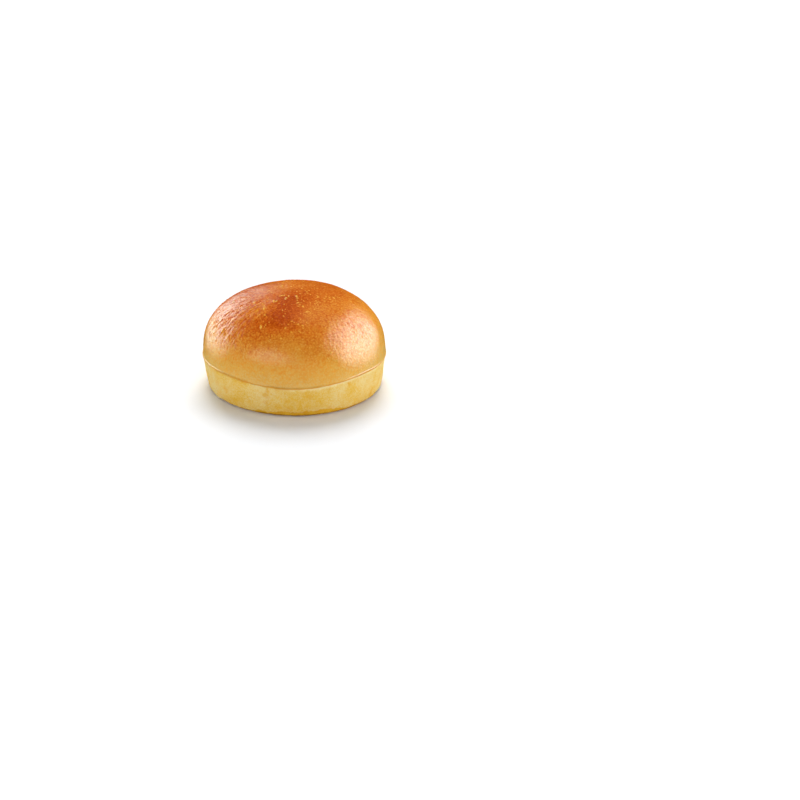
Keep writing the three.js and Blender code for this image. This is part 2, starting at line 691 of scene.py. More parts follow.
    def wrinkled(self, points: np.ndarray) -> np.ndarray:
        """Where the crust is wrinkled: on the shoulder, in a few zones round the bun.

        Args:
            points: places on the crown.

        Returns:
            Strengths from 0 to 1.
        """
        azimuth = np.degrees(np.arctan2(points[:, 0], -points[:, 1]))
        reach = np.hypot(points[:, 0], points[:, 1]) / self.form.radius
        shoulder = ease(reach, *self.shoulder_start) * (1 - ease(reach, *self.shoulder_end))
        patchy = self.wrinkle_mean + self.wrinkle_patches.at(points)
        strength = self.wrinkles_anywhere + zone_share(self.wrinkle_zones, azimuth)
        return np.clip(strength * patchy, 0, 1) * shoulder

    def blisters(self, points: np.ndarray) -> tuple[np.ndarray, np.ndarray]:
        """The blisters at each point: exp(-blister_fall d^2) over each oval blister, and the tallest counts.

        Args:
            points: places on the dome.

        Returns:
            The height as a share of the blister's own, and that share times the blister's radius.
        """
        draws = np.random.default_rng(self.seed)
        form = self.form
        tallest = np.zeros(len(points))
        scale = np.zeros(len(points))
        for cluster in self.clusters:
            x = draws.normal(cluster.x, cluster.spread * self.blister_scatter, cluster.count)
            y = draws.normal(cluster.y, cluster.spread * self.blister_scatter, cluster.count)
            size = draws.uniform(0, 1, cluster.count) ** self.blister_rarity
            radius = self.blister_smallest + (cluster.largest - self.blister_smallest) * size
            centres = np.stack([x, y, form.dome_height(np.hypot(x, y))], axis=-1)
            lean = draws.uniform(0, math.pi, cluster.count)
            stretch = draws.uniform(*self.blister_stretch, cluster.count)
            axis = np.stack([np.cos(lean), np.sin(lean), 0 * lean], axis=-1)
            gap = points[:, None] - centres
            flat = np.sum(gap * gap * [1, 1, self.blister_sink], axis=-1)
            ahead = np.sum(gap * axis, axis=-1)
            square = (flat - ahead**2 * (1 - 1 / stretch**2)) / radius**2
            share = np.exp(-self.blister_fall * np.clip(square, 0, None))
            nearest = share.argmax(axis=1)
            height = share[np.arange(len(points)), nearest]
            scale = np.where(height > tallest, radius[nearest], scale)
            tallest = np.maximum(tallest, height)
        return tallest, tallest * scale

    def dented(self, points: np.ndarray) -> np.ndarray:
        """A round dimple with a soft raised ring, as a burst bubble leaves: (1 - d^2 / 2) exp(-d^2 / 2).

        Args:
            points: places on the crown.

        Returns:
            The depth as a share of the dimple's own, below 0 on its ring.
        """
        x, y = self.dent_place
        gap = (points - [x, y, self.form.dome_height(np.hypot(x, y))]) / self.dent_radius
        square = np.sum(gap * gap, axis=-1)
        return (1 - square / 2) * np.exp(-square / 2)

    def bubbly(self, points: np.ndarray) -> np.ndarray:
        """How thick the finest bubbles lie: the sum of exp(-d^2) over the clusters.

        Args:
            points: places on the crown.

        Returns:
            Shares from 0 to 1.
        """
        total = np.zeros(len(points))
        for cluster in self.clusters:
            gap = np.hypot(points[:, 0] - cluster.x, points[:, 1] - cluster.y) / cluster.spread
            total += np.exp(-(gap**2)) * (points[:, 2] > self.form.cut_height)
        return np.clip(total, 0, 1)

    def baked(self, points: np.ndarray) -> np.ndarray:
        """How dark the oven left the crust: by height, levelling off, with patches and a mottle.

        Args:
            points: places on the crown.

        Returns:
            Tones from 0, the palest, to 1, the darkest.
        """
        form = self.form
        share = np.clip((points[:, 2] - form.cut_height) / (form.height - form.cut_height), 0, 1)
        tone = self.baked_rise * share - self.baked_levelling * share**2
        for patch in self.brown_patches:
            gap = points - [patch.x, patch.y, form.dome_height(np.hypot(patch.x, patch.y))]
            tone += patch.depth * np.exp(-np.sum(gap * gap, axis=-1) / patch.spread**2)
        tone += self.browning.at(points) + self.mottle.at(points)
        return np.clip(tone, 0, 1)

    def build(self) -> bpy.types.Object:
        """Builds the crown and dresses it.

        Returns:
            The finished piece.
        """
        skin = Skin()
        face = SliceFace(self.form, grid_cells=self.grid_cells // 2, crust_width=self.crust_width)
        dome, border = self.dome()
        top_ring = skin.add(dome.pick(border))
        skin.disc(dome, border, top_ring, faces_up=True)
        rim = skin.add(self.rim(len(border)))
        skin.band(np.vstack([rim, top_ring]))
        face.close(skin, rim[0], self.form.radius - self.form.rim_corner, self.rim_level(), faces_up=False)
        spots = skin.spots()
        wrinkled = self.wrinkled(spots.points)
        streaks = self.streak_space(spots.points)
        blister, blister_height = self.blisters(spots.points)
        creases = self.crease_level - abs(self.crease_lines.at(streaks)) + self.crease_folds.at(streaks)
        crust = (
            -self.margin
            + self.swell.at(spots.points)
            + self.knead.at(spots.points)
            + self.pore.at(spots.points)
            + self.wrinkle * wrinkled * creases
            + self.blister_rise * blister_height
            - self.dent * self.dented(spots.points)
        )
        upright = sideways(-spots.outward[:, 2])
        opened = face.lift(spots)
        lift = np.minimum(crust, 0) * upright * (1 - spots.crumb) + opened
        points = spots.points + spots.outward * lift[:, None]
        values = {
            "crumb": spots.crumb,
            "cell": np.clip(-opened / MM, 0, 1),
            "baked": self.baked(spots.points),
            "rim": 1 - upright,
            "blister": blister,
            "bubbly": self.bubbly(spots.points),
            "wrinkled": wrinkled,
            "crease": np.clip(self.crease_shade - creases, 0, 1) * wrinkled,
            "streak": streaks,
        }
        return smooth_object("crown_bread", points, skin.faces, values)


@dataclass(frozen=True)
class Heel:
    """The lower half: a pale matt wall that tapers to a flat, browned base, and a raised lip at the slice
    with painted shade of the gap under the crown in orange-brown.
    """

    form: BunForm
    grid_cells: int = 128
    around: int = 1024
    corner_rows: int = 9
    wall_rows: int = 34
    rim_rows: int = 5
    base_join: float = 1.2 * MM
    margin: float = 0.25 * MM
    swell: Hills = Hills(21, 0.4 * MM, 24 * MM)
    knead: Hills = Hills(22, 0.2 * MM, 7 * MM)
    pore: Hills = Hills(23, 0.06 * MM, 1.7 * MM)
    crumb_lean: tuple[float, float] = (55, 85)
    base_line: float = 0.7 * MM
    base_rise: float = 2.9 * MM
    base_wander: float = 1.3 * MM
    wander_hills: Hills = Hills(41, 1.0, 9 * MM)
    wander_grain: Hills = Hills(42, 0.6, 1.8 * MM)
    base_blur: float = 0.35 * MM
    base_zones: tuple[Zone, ...] = (Zone(14, 40, 1.0), Zone(125, 45, 0.9), Zone(-150, 40, 0.8))
    base_step: float = 0.15 * MM
    base_pit: float = 0.18 * MM
    pit_hills: Hills = Hills(24, 1.0, 3.2 * MM)
    pit_edge: tuple[float, float] = (0.15, 0.6)
    foot_shade_height: tuple[float, float] = (0.2 * MM, 1.5 * MM)
    foot_shade_turn: tuple[float, float] = (0.9, 1.0)
    facing_down: float = 0.99
    lip: float = 0.14 * MM
    lip_turn: tuple[float, float] = (0.8, 1.0)
    lip_width: tuple[float, float] = (0.9 * MM, 2.0 * MM)
    torn_depth: tuple[float, float] = (0.5 * MM, 2.2 * MM)
    ragged: float = 0.5 * MM
    ragged_hills: Hills = Hills(45, 1.0, 2.5 * MM)
    ragged_grain: Hills = Hills(46, 1.0, 0.9 * MM)
    torn_zones: tuple[Zone, ...] = (Zone(32, 34, 1.0), Zone(150, 40, 0.9), Zone(-125, 24, 0.8))

    def side(self) -> Spots:
        """The side, from the base's edge to the slice's: a quarter circle, the wall and a smaller quarter.

        Returns:
            Rings of as many points, from the lowest up.
        """
        form = self.form
        top = form.cut_height - form.kerf / 2
        wall_top = top - form.rim_corner
        foot = form.wall_radius(form.base_corner)
        low = np.linspace(-math.pi / 2, 0, self.corner_rows + 1)[:-1]
        high = np.linspace(0, math.pi / 2, self.rim_rows + 1)
        wall_height = np.linspace(form.base_corner, wall_top, self.wall_rows + 1)[:-1]
        rim_radius = form.wall_radius(wall_top) - form.rim_corner
        radius = np.concatenate(
            [
                foot - form.base_corner * (1 - np.cos(low)),
                form.wall_radius(wall_height),
                rim_radius + form.rim_corner * np.cos(high),
            ]
        )
        height = np.concatenate(
            [form.base_corner * (1 + np.sin(low)), wall_height, wall_top + form.rim_corner * np.sin(high)]
        )
        lean = np.concatenate([low, 0 * wall_height, high])[:, None]
        azimuth = np.arange(self.around) * 2 * math.pi / self.around
        points = form.place(radius[:, None], height[:, None], azimuth, height[:, None] / form.cut_height)
        crumb = ease(lean, *np.radians(self.crumb_lean)) + 0 * azimuth
        return Spots(points, leaning(np.cos(lean), np.sin(lean), azimuth), crumb)

    def close_base(self, skin: Skin, edge: np.ndarray) -> None:
        """Closes the heel over its flat base.

        Args:
            skin: the heel so far.
            edge: the numbers of the lowest ring's points.
        """
        share, azimuth = round_grid(self.grid_cells)
        radius = self.form.wall_radius(self.form.base_corner) - self.form.base_corner - self.base_join
        points = self.form.place(share * radius, 0 * share, azimuth, 0.0)
        spots = Spots(points, np.broadcast_to([0.0, 0.0, -1.0], points.shape), np.zeros_like(share))
        border = border_of(azimuth)
        inner = skin.add(spots.pick(border))
        skin.halve(edge, inner, faces_up=False)
        skin.disc(spots, border, inner, faces_up=False)

    def based(self, points: np.ndarray) -> np.ndarray:
        """Where the bread lay on the tray: below a line that wanders round the wall's foot.

        Args:
            points: places on the heel.

        Returns:
            Shares from 0 to 1.
        """
        azimuth = np.degrees(np.arctan2(points[:, 0], -points[:, 1]))
        wander = self.wander_hills.at(points) + self.wander_grain.at(points)
        rise = self.base_rise * zone_share(self.base_zones, azimuth)
        line = self.base_line + rise + self.base_wander * wander
        return 1 - ease(points[:, 2] - line, -self.base_blur, self.base_blur)

    def torn(self, points: np.ndarray) -> np.ndarray:
        """Where the knife tore the crust: a ragged edge just under the slice, in a few stretches.

        Args:
            points: places on the heel.

        Returns:
            Strengths from 0 to about 1.
        """
        middle = self.form.middle()
        rise = self.form.cut_rise(points[:, 0] + middle[0], points[:, 1] + middle[1])
        slice_level = self.form.cut_height + rise
        ragged = self.ragged * (self.ragged_hills.at(points) + self.ragged_grain.at(points))
        azimuth = np.degrees(np.arctan2(points[:, 0], -points[:, 1]))
        near = 1 - ease(slice_level - points[:, 2] + ragged, *self.torn_depth)
        return zone_share(self.torn_zones, azimuth) * near

    def foot(self, spots: Spots) -> np.ndarray:
        """Where shade is painted: a dark ring where the wall turns under onto the tray, from 0 to 1."""
        low = 1 - ease(spots.points[:, 2], *self.foot_shade_height)
        return low * (1 - ease(-spots.outward[:, 2], *self.foot_shade_turn))

    def rim_shade(self, spots: Spots) -> np.ndarray:
        """Where shade of the gap under the crown is painted: a narrow orange-brown ring just in from the rim.

        Args:
            spots: the heel's points.

        Returns:
            Shares from 0 to 1.
        """
        middle = self.form.middle()
        reach = np.hypot(spots.points[:, 0] + middle[0], spots.points[:, 1] + middle[1])
        azimuth = np.arctan2(spots.points[:, 0], -spots.points[:, 1])
        rim = self.form.wall_radius(self.form.cut_height) * self.form.outline(azimuth)
        inset = rim - reach
        return ease(spots.outward[:, 2], *self.lip_turn) * (1 - ease(inset, *self.lip_width))

    def build(self) -> bpy.types.Object:
        """Builds the heel and dresses it.

        Returns:
            The finished piece.
        """
        skin, face = Skin(), SliceFace(self.form)
        side = skin.add(self.side())
        skin.band(side)
        self.close_base(skin, side[0])
        top = self.form.cut_height - self.form.kerf / 2
        rim_radius = self.form.wall_radius(top - self.form.rim_corner) - self.form.rim_corner
        face.close(skin, side[-1], rim_radius, top, faces_up=True)
        spots = skin.spots()
        based = self.based(spots.points)
        underside = -spots.outward[:, 2] > self.facing_down
        crust = (
            -self.margin
            + self.swell.at(spots.points)
            + self.knead.at(spots.points)
            + self.pore.at(spots.points)
            - self.base_step * based
        )
        pits = -self.base_pit * ease(self.pit_hills.at(spots.points), *self.pit_edge)
        upright = sideways(spots.outward[:, 2])
        outside = np.where(underside, pits, np.minimum(crust, 0) * upright)
        opened = face.lift(spots)
        rim = self.rim_shade(spots)
        lift = outside * (1 - spots.crumb) + opened + self.lip * rim
        points = spots.points + spots.outward * lift[:, None]
        points[:, 2] = np.maximum(points[:, 2], 0)
        values = {
            "crumb": spots.crumb,
            "cell": np.clip(-opened / MM, 0, 1),
            "based": based,
            "rim": rim,
            "torn": self.torn(spots.points),
            "foot": self.foot(spots),
        }
        return smooth_object("heel_bread", points, skin.faces, values)


class Wire:
    """A shader value that takes part in Python arithmetic: each operator adds the Math node that it needs."""

    def __init__(self, recipe: "Recipe", socket: bpy.types.NodeSocket) -> None:
        """Wraps a node's output in the recipe that it belongs to."""
        self.recipe = recipe
        self.socket = socket

    def __add__(self, other: "Wire | float") -> "Wire":
        """The sum."""
        return self.recipe.maths("ADD", self, other)

    def __sub__(self, other: "Wire | float") -> "Wire":
        """The difference."""
        return self.recipe.maths("SUBTRACT", self, other)

    def __rsub__(self, other: float) -> "Wire":
        """The difference from a number."""
        return self.recipe.maths("SUBTRACT", other, self)

    def __mul__(self, other: "Wire | float") -> "Wire":
        """The product."""
        return self.recipe.maths("MULTIPLY", self, other)

    __radd__ = __add__
    __rmul__ = __mul__

    def step(self, start: float, end: float) -> "Wire":
        """A smooth step.

        Args:
            start: where the result leaves 0.
            end: where the result reaches 1.

        Returns:
            The stepped value.
        """
        settings = {"interpolation_type": "SMOOTHSTEP"}
        inputs = {"Value": self, "From Min": start, "From Max": end}
        return self.recipe.wire("ShaderNodeMapRange", settings, inputs, "Result")


class Recipe:
    """The shader of a material or a lamp in the making."""

    def __init__(self, owner: bpy.types.Material | bpy.types.Light) -> None:
        """Starts a shader with no nodes.

        Args:
            owner: the material or the lamp that it belongs to.
        """
        self.owner = owner
        owner.use_nodes = True
        self.tree = owner.node_tree
        self.tree.nodes.clear()

    def node(self, kind: str, settings: dict, inputs: dict) -> bpy.types.Node:
        """Adds a node.

        Args:
            kind: the node's type.
            settings: its own options, set first; "stops" are a colour ramp's places and colours.
            inputs: the value or the wire of each socket, by name or number.

        Returns:
            The node.
        """
        made = self.tree.nodes.new(kind)
        for key, value in settings.items():
            if key == "stops":
                self.set_stops(made.color_ramp.elements, value)
            else:
                setattr(made, key, value)
        for key, value in inputs.items():
            if isinstance(value, Wire):
                self.tree.links.new(value.socket, made.inputs[key])
            else:
                made.inputs[key].default_value = value
        return made

    def wire(self, kind: str, settings: dict, inputs: dict, output: str | int = 0) -> Wire:
        """Adds a node and takes one of its outputs.

        Args:
            kind: the node's type.
            settings: its own options.
            inputs: the value or the wire of each socket.
            output: the name or the number of the output.

        Returns:
            The output as a wire.
        """
        return Wire(self, self.node(kind, settings, inputs).outputs[output])

    def set_stops(self, elements: bpy.types.ColorRampElements, stops: dict[float, Colour]) -> None:
        """Gives a colour ramp its stops.

        Args:
            elements: the ramp's stops, of which there are two at first.
            stops: a colour for each place along the ramp.
        """
        while len(elements) < len(stops):
            elements.new(0.5)
        for element, (place, colour) in zip(elements, stops.items()):
            element.position = place
            element.color = (*colour, 1)

    def maths(self, operation: str, first: Wire | float, second: Wire | float) -> Wire:
        """One Math node."""
        return self.wire("ShaderNodeMath", {"operation": operation}, {0: first, 1: second}, 0)

    def value(self, name: str) -> Wire:
        """What a piece holds at each point under this name."""
        return self.wire("ShaderNodeAttribute", {"attribute_name": name}, {}, "Fac")

    def vector(self, name: str) -> Wire:
        """The three numbers that a piece holds at each point under this name."""
        return self.wire("ShaderNodeAttribute", {"attribute_name": name}, {}, "Vector")

    def place(self) -> Wire:
        """The place on the piece, in metres."""
        return self.wire("ShaderNodeTexCoord", {}, {}, "Object")

    def hills(self, where: Wire, size: float, detail: float = 2, roughness: float = 0.5) -> Wire:
        """Soft noise about 0.

        Args:
            where: the coordinates.
            size: how far apart the hills are, about.
            detail: how many finer layers lie on them.
            roughness: how much each finer layer counts.

        Returns:
            The noise, from about -0.5 to 0.5.
        """
        inputs = {"Vector": where, "Scale": 1 / size, "Detail": detail, "Roughness": roughness}
        return self.wire("ShaderNodeTexNoise", {}, inputs, 0) - 0.5

    def stir(self, where: Wire, size: float, amount: float) -> Wire:
        """Coordinates bent by a noise.

        Args:
            where: the coordinates.
            size: how far apart the noise's hills are, about.
            amount: the range of the bend, in the coordinates' units.

        Returns:
            The bent coordinates.
        """
        bend = self.wire("ShaderNodeTexNoise", {}, {"Vector": where, "Scale": 1 / size, "Detail": 1}, 1)
        inputs = {0: bend, 1: (amount, amount, amount), 2: where}
        return self.wire("ShaderNodeVectorMath", {"operation": "MULTIPLY_ADD"}, inputs, 0)

    def domes(self, where: Wire, size: float) -> Wire:
        """A net of small domes.

        Args:
            where: the coordinates.
            size: the net's cell size.

        Returns:
            1 on top of each dome, falling evenly to about 0 in the creases between them.
        """
        steepness = 1.3
        inputs = {"Vector": where, "Scale": 1 / size}
        return 1 - self.wire("ShaderNodeTexVoronoi", {}, inputs, "Distance") * steepness

    def pips(self, where: Wire, size: float, radius: float, share: Wire | float) -> Wire:
        """Small round spots, one in some cells of a random net: 1 at a spot's middle and 0 past its radius.

        Args:
            where: the coordinates.
            size: the net's cell size.
            radius: the largest spot's radius as a share of a cell.
            share: how many of the cells have a spot.

        Returns:
            The spots.
        """
        inputs = {"Vector": where, "Scale": 1 / size}
        away = self.wire("ShaderNodeTexVoronoi", {}, inputs, "Distance")
        colour = self.wire("ShaderNodeTexVoronoi", {}, inputs, "Color")
        chance = self.wire("ShaderNodeSeparateColor", {}, {0: colour}, 0)
        soft_edge, unsure = 0.7, 0.02
        return (1 - away * (1 / radius)).step(0, soft_edge) * (chance + share).step(1, 1 + unsure)

    def blend(self, factor: Wire | float, first: Wire | Colour, second: Wire | Colour) -> Wire:
        """Mixes two colours.

        Args:
            factor: 0 for the first colour, 1 for the second.
            first: the first colour.
            second: the second colour.

        Returns:
            The mixed colour.
        """
        ends = [colour if isinstance(colour, Wire) else (*colour, 1) for colour in (first, second)]
        settings = {"data_type": "RGBA", "blend_type": "MIX", "clamp_factor": True}
        return self.wire("ShaderNodeMix", settings, {0: factor, 6: ends[0], 7: ends[1]}, 2)

    def bump(self, height: Wire, depth: float) -> Wire:
        """A surface roughened by a height, whose 1 is this deep."""
        return self.wire("ShaderNodeBump", {}, {"Height": height, "Distance": depth, "Strength": 1.0}, 0)

    def finish(self, sockets: dict) -> bpy.types.Material:
        """Sends everything to one Principled surface.

        Args:
            sockets: the value or the wire of each of the surface's sockets.

        Returns:
            The material.
        """
        surface = self.wire("ShaderNodeBsdfPrincipled", {}, sockets)
        self.node("ShaderNodeOutputMaterial", {}, {"Surface": surface})
        return self.owner


@dataclass(frozen=True)
class CrumbFinish:
    """Open bread: cream, with painted shade, darker and yellower, down in its cells, and quite matt."""

    cream: Colour = (0.80, 0.68, 0.44)
    # Painted shade in the crumb's open cells.
    shade: Colour = (0.74, 0.53, 0.24)
    roughness: float = 0.85
    mottle_size: float = 1.2 * MM
    grain_size: float = 0.9 * MM
    pit_size: float = 1.3 * MM

    def colour(self, recipe: Recipe, place: Wire) -> Wire:
        """Cream with painted shade, darker and yellower, on the cells' floors, and a fine mottle."""
        mottle = recipe.hills(place, self.mottle_size, 3)
        return recipe.blend(recipe.value("cell") * 0.8 + mottle * 0.9, self.cream, self.shade)

    def height(self, recipe: Recipe, place: Wire) -> Wire:
        """A torn grain about 0, with small pits in it."""
        grain = recipe.hills(place, self.grain_size, 3, 0.65)
        return grain - recipe.pips(place, self.pit_size, 0.5, 0.6) * 0.8


@dataclass(frozen=True)
class GlazedCrust:
    """Egg-washed crust: pale gold at the rim through orange to chestnut on top, with a soft shine."""

    crumb: CrumbFinish = CrumbFinish()
    stops: tuple[tuple[float, Colour], ...] = (
        (0.0, (0.79, 0.48, 0.12)),
        (0.22, (0.80, 0.40, 0.06)),
        (0.45, (0.80, 0.31, 0.030)),
        (0.7, (0.68, 0.17, 0.011)),
        (0.86, (0.57, 0.097, 0.004)),
        (1.0, (0.44, 0.058, 0.002)),
    )
    # Pale specks on the small domes' tops: the crust's own pale spots with painted glints on the bumps.
    fleck_and_glint: Colour = (0.92, 0.60, 0.15)
    blister: Colour = (0.98, 0.62, 0.08)
    # The crust's cut edge: partly its own colour, partly painted shade of the gap below it.
    rim: Colour = (0.78, 0.33, 0.02)
    roughness: float = 0.5
    gloss: float = 0.0
    glaze: float = 0.64
    glaze_roughness: float = 0.18
    glaze_ior: float = 1.8
    subsurface: float = 0.12
    subsurface_reach: Colour = (1.0, 0.4, 0.12)
    subsurface_depth: float = 1.2 * MM
    relief: float = 0.16 * MM
    stir_size: float = 2.5 * MM
    stir_amount: float = 1.6 * MM
    swirl_size: float = 4.5 * MM
    peel_size: float = 1.3 * MM
    grain_size: float = 0.9 * MM
    bubble_size: float = 1.8 * MM
    line_cells: float = 1.15
    pit_cells: float = 2.2

    def material(self) -> bpy.types.Material:
        """The finish as a material for the crown.

        Returns:
            The material.
        """
        recipe = Recipe(bpy.data.materials.new("egg_washed_crust"))
        place, streak = recipe.place(), recipe.vector("streak")
        crumb, wrinkled = recipe.value("crumb").step(0.35, 0.65), recipe.value("wrinkled")
        swirl = recipe.hills(place, self.swirl_size, 3)
        peel = recipe.domes(recipe.stir(place, self.stir_size, self.stir_amount), self.peel_size)
        grain = recipe.hills(place, self.grain_size, 3, 0.6)
        lines = recipe.hills(streak, self.line_cells, 2, 0.55) * wrinkled
        pits = recipe.pips(streak, self.pit_cells, 0.5, 0.3) * wrinkled
        crease = recipe.value("crease")
        # The tone darkens between the small domes and in the creases and pits: painted shade in the hollows.
        tone = recipe.value("baked") + swirl * 0.18 + (0.4 - peel) * 0.24 + grain * 0.6
        tone = tone + lines * 0.7 + pits * 0.1 + crease * 0.2
        crust = recipe.wire("ShaderNodeValToRGB", {"stops": dict(self.stops)}, {0: tone}, 0)
        # Paler on the tops of the small domes: the crust's own pale spots together with painted glints on the
        # bumps.
        fleck_and_glint = peel.step(0.45, 0.9) * (0.2 + grain * 2.4) * (1 - tone.step(0.5, 0.9))
        crust = recipe.blend(fleck_and_glint, crust, self.fleck_and_glint)
        tiny = recipe.pips(place, self.bubble_size, 0.32, recipe.value("bubbly") * 0.2 + 0.03)
        spots = recipe.maths("MAXIMUM", recipe.value("blister").step(0.12, 0.8), tiny * 0.8)
        crust = recipe.blend(spots * 0.72, crust, self.blister)
        # The crust round the cut edge turns darker orange: partly the crust's edge, partly painted shade of
        # the gap under it.
        rim = recipe.value("rim")
        crust = recipe.blend(rim, crust, self.rim)
        colour = recipe.blend(crumb, crust, self.crumb.colour(recipe, place))
        shine = self.roughness + grain * 0.12 - wrinkled * 0.04
        bare = (crease * 0.5 + pits * 0.3 - lines * 4.0 + (0.5 - peel) * 0.45 + 0.15).step(0, 1)
        skin_height = grain * 0.9 + peel * 0.6 + swirl * 0.5 + lines * 4.0 - pits * 0.5 + tiny * 0.9
        height = skin_height * (1 - crumb) + self.crumb.height(recipe, place) * crumb
        return recipe.finish(
            {
                "Base Color": colour,
                "Roughness": shine * (1 - crumb) + self.crumb.roughness * crumb,
                "Specular IOR Level": self.gloss,
                "Coat Weight": (1 - crumb) * (1 - bare) * (1 - rim.step(0, 0.3)) * self.glaze,
                "Coat Roughness": self.glaze_roughness,
                "Coat IOR": self.glaze_ior,
                "Subsurface Weight": self.subsurface,
                "Subsurface Radius": self.subsurface_reach,
                "Subsurface Scale": self.subsurface_depth,
                "Normal": recipe.bump(height, self.relief),
            }
        )


@dataclass(frozen=True)
class PaleCrust:
    """The heel's unglazed side: pale yellow with golden patches, matt, over a golden-brown base."""

    crumb: CrumbFinish = CrumbFinish()
    stops: tuple[tuple[float, Colour], ...] = (
        (0.0, (0.80, 0.61, 0.25)),
        (0.5, (0.79, 0.52, 0.12)),
        (1.0, (0.76, 0.43, 0.04)),
    )
    # Painted shade of the gap under the crown: an orange-brown ring along the slice's edge.
    gap_shade: Colour = (0.80, 0.35, 0.02)
    torn: Colour = (0.90, 0.74, 0.38)
    stain: Colour = (0.74, 0.35, 0.02)
    base_pale: Colour = (0.80, 0.47, 0.035)
    base_dark: Colour = (0.64, 0.29, 0.01)
    # Near-black painted shade where the wall turns under onto the table.
    foot: Colour = (0.17, 0.055, 0.015)
    flour: Colour = (0.85, 0.74, 0.45)
    roughness: float = 0.72
    gloss: float = 0.1
    subsurface: float = 0.2
    subsurface_reach: Colour = (1.0, 0.6, 0.25)
    subsurface_depth: float = 1.5 * MM
    relief: float = 0.16 * MM
    broad_size: float = 14 * MM
    patch_size: float = 4 * MM
    grain_size: float = 0.8 * MM
    stain_size: float = 6 * MM
    stain_stir: float = 3 * MM
    dome_size: float = 2.3 * MM

    def material(self) -> bpy.types.Material:
        """The finish as a material for the heel.

        Returns:
            The material.
        """
        recipe = Recipe(bpy.data.materials.new("unglazed_crust"))
        place = recipe.place()
        crumb, based = recipe.value("crumb").step(0.25, 0.6), recipe.value("based").step(0.3, 0.7)
        broad = recipe.hills(place, self.broad_size, 3)
        patch = recipe.hills(place, self.patch_size, 3)
        grain = recipe.hills(place, self.grain_size, 3, 0.6)
        golden = 0.45 + broad * 1.6 + patch * 1.0 + grain * 2.2
        wall = recipe.wire("ShaderNodeValToRGB", {"stops": dict(self.stops)}, {0: golden}, 0)
        stirred = recipe.stir(place, self.patch_size, self.stain_stir)
        spotted = recipe.pips(stirred, self.stain_size, 0.5, 0.35)
        wall = recipe.blend(spotted * (0.5 + patch * 2), wall, self.stain)
        wall = recipe.blend(recipe.value("torn") * 0.85, wall, self.torn)
        base = recipe.blend(0.5 + broad * 0.9 + patch * 1.2 + grain, self.base_pale, self.base_dark)
        dusted = recipe.value("based") * (1 - recipe.value("based")) * (grain + patch + 0.3)
        # Painted contact shade: the wall's lowest ring is darkened where it turns under.
        base = recipe.blend(recipe.value("foot") * (0.8 + patch), base, self.foot)
        crust = recipe.blend(dusted * 2.4, recipe.blend(based, wall, base), self.flour)
        colour = recipe.blend(crumb, crust, self.crumb.colour(recipe, place))
        # Painted shade of the gap under the crown: an orange-brown ring along the slice's edge.
        colour = recipe.blend(recipe.value("rim"), colour, self.gap_shade)
        skin_height = grain * 1.4 + patch * 1.2 + recipe.domes(place, self.dome_size) * 0.5
        height = skin_height * (1 - crumb) + self.crumb.height(recipe, place) * crumb
        return recipe.finish(
            {
                "Base Color": colour,
                "Roughness": (self.roughness - based * 0.1) * (1 - crumb) + self.crumb.roughness * crumb,
                "Specular IOR Level": self.gloss,
                "Subsurface Weight": self.subsurface,
                "Subsurface Radius": self.subsurface_reach,
                "Subsurface Scale": self.subsurface_depth,
                "Normal": recipe.bump(height, self.relief),
            }
        )


def towards(azimuth: float, elevation: float) -> Vector:
    """The direction of an azimuth and an elevation in degrees, seen from the bun."""
    turn, tilt = math.radians(azimuth), math.radians(elevation)
    return Vector((math.sin(turn) * math.cos(tilt), -math.cos(turn) * math.cos(tilt), math.sin(tilt)))


@dataclass(frozen=True)
class Softbox:
    """A large lamp that faces the bun and shows as a soft shine, brightest in its middle."""

    name: str
    azimuth: float
    elevation: float
    distance: float
    width: float
    height: float
    radiance: float
    tint: Colour = (1.0, 1.0, 1.0)
    dark_from: float = 0.5
    bright_to: float = 0.08

    def soften(self, light: bpy.types.Light) -> None:
        """Lets the lamp's glow fall off smoothly from its middle to its edge.

        Args:
            light: the lamp's own data.
        """
        recipe = Recipe(light)
        across = recipe.wire("ShaderNodeNewGeometry", {}, {}, "Parametric")
        inputs = {0: across, 1: (0.5, 0.5, 0.0)}
        away = recipe.wire("ShaderNodeVectorMath", {"operation": "DISTANCE"}, inputs, "Value")
        glow = recipe.wire("ShaderNodeEmission", {}, {"Strength": away.step(self.dark_from, self.bright_to)})
        recipe.node("ShaderNodeOutputLight", {}, {"Surface": glow})

    def build(self, target: Vector) -> bpy.types.Object:
        """Puts the lamp in the scene.

        Args:
            target: what it faces.

        Returns:
            The lamp, which shows only in reflections.
        """
        light = bpy.data.lights.new(self.name, "AREA")
        light.shape = "RECTANGLE"
        light.size, light.size_y = self.width, self.height
        # A lamp's radiance is its energy over four times its area.
        light.energy = 4 * self.width * self.height * self.radiance
        light.color = self.tint
        self.soften(light)
        lamp = bpy.data.objects.new(self.name, light)
        away = towards(self.azimuth, self.elevation)
        lamp.location = target + away * self.distance
        lamp.rotation_mode = "QUATERNION"
        lamp.rotation_quaternion = away.to_track_quat("Z", "Y")
        lamp.visible_camera = False
        lamp.visible_diffuse = False
        bpy.context.scene.collection.objects.link(lamp)
        return lamp


@dataclass(frozen=True)
class SkyPanel:
    """A wide, far, even light that shapes the bread and adds no shine to it. Its spread is in degrees."""

    name: str
    azimuth: float
    elevation: float
    strength: float
    spread: float = 45

    def build(self) -> bpy.types.Object:
        """Puts the light in the scene.

        Returns:
            The light.
        """
        light = bpy.data.lights.new(self.name, "SUN")
        light.energy, light.angle = self.strength, math.radians(self.spread)
        lamp = bpy.data.objects.new(self.name, light)
        lamp.rotation_mode = "QUATERNION"
        lamp.rotation_quaternion = towards(self.azimuth, self.elevation).to_track_quat("Z", "Y")
        lamp.visible_glossy = False
        bpy.context.scene.collection.objects.link(lamp)
        return lamp


